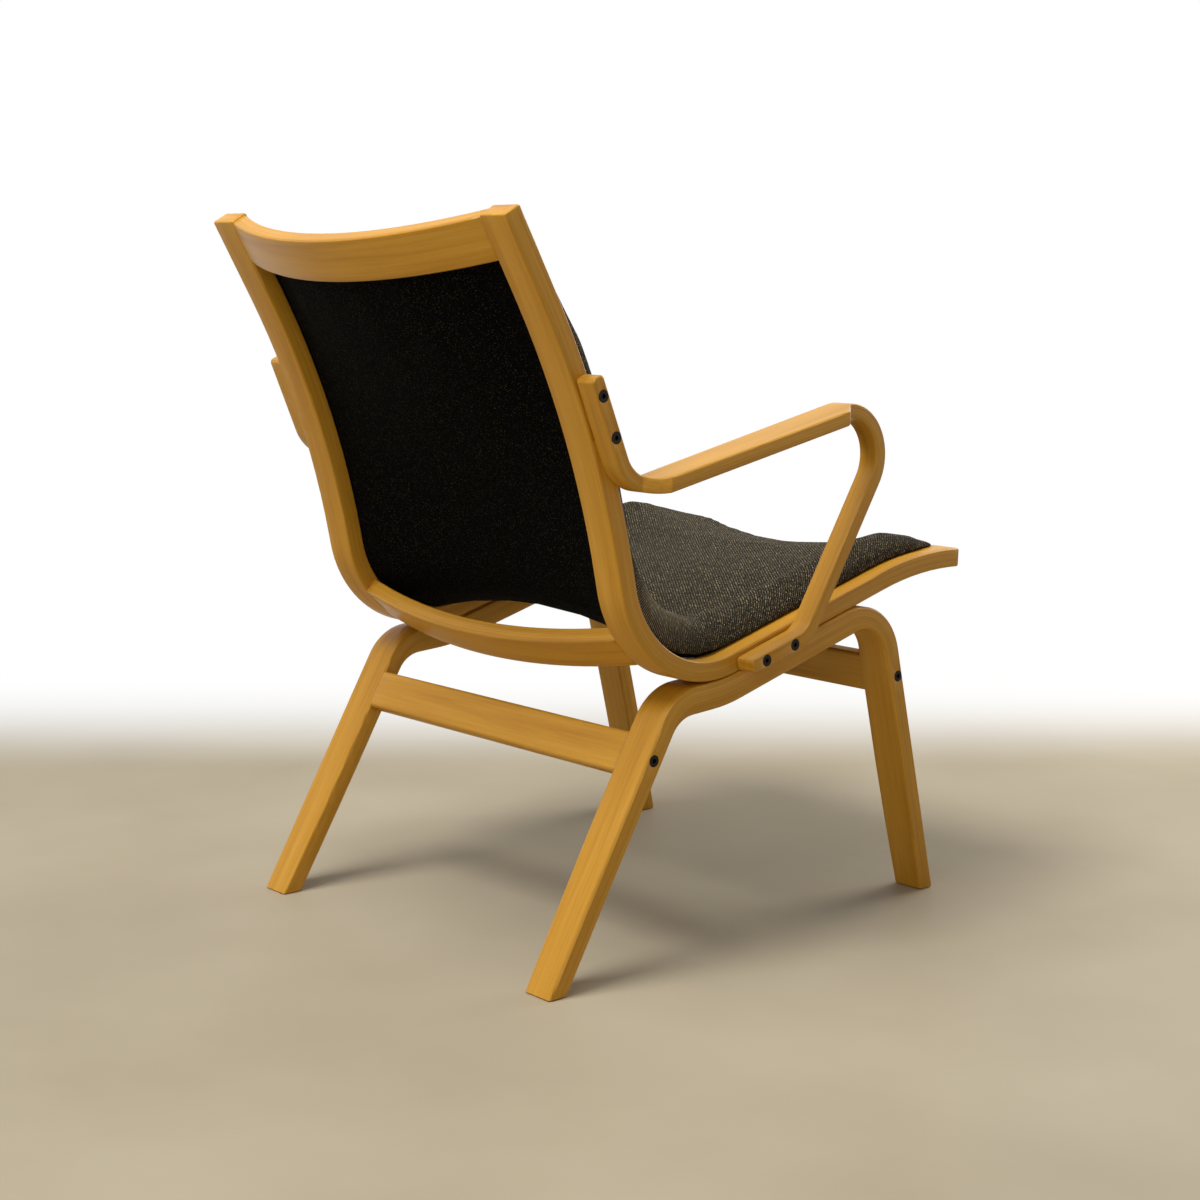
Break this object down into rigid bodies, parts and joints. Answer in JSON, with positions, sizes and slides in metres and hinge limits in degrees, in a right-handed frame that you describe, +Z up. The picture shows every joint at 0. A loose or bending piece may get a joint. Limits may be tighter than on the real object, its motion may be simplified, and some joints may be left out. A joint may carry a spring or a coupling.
{
  "type": "lounge armchair",
  "caption": "Low lounge armchair on two arched bent-wood leg frames, with looped wooden arms, bent side rails and one continuous padded fabric seat and back.",
  "frame": {"origin": "on the floor under the middle of the chair's outline", "axes": "+Z up; the sitter faces -Y and the sitter's right hand is at -X"},
  "size_m": [0.6528, 0.7452, 0.8236],
  "materials": {
    "beech": "honey-coloured satin lacquer",
    "dowel_beech": "raw",
    "charcoal_fabric": "woven charcoal wool with fine coloured flecks",
    "black_cloth": "plain black woven backing",
    "black_steel": "blackened",
    "zinc_steel": "zinc plated"
  },
  "bodies": {
    "root": {"left_side_rail": "beech", "right_side_rail": "beech", "crest_rail": "beech", "lower_back_rail": "beech", "front_rail": "beech", "left_leg_frame": "beech", "right_leg_frame": "beech", "rear_stretcher": "beech", "front_stretcher": "beech", "left_arm": "beech", "right_arm": "beech", "back_cloth": "black_cloth", "seat_pad": "charcoal_fabric", "arm_bolts": "black_steel", "arm_inserts": "zinc_steel", "frame_bolts": "black_steel", "frame_inserts": "zinc_steel", "stretcher_bolts": "black_steel", "barrel_nuts": "zinc_steel", "rail_dowels": "dowel_beech", "stretcher_dowels": "dowel_beech"}
  },
  "joints": []
}
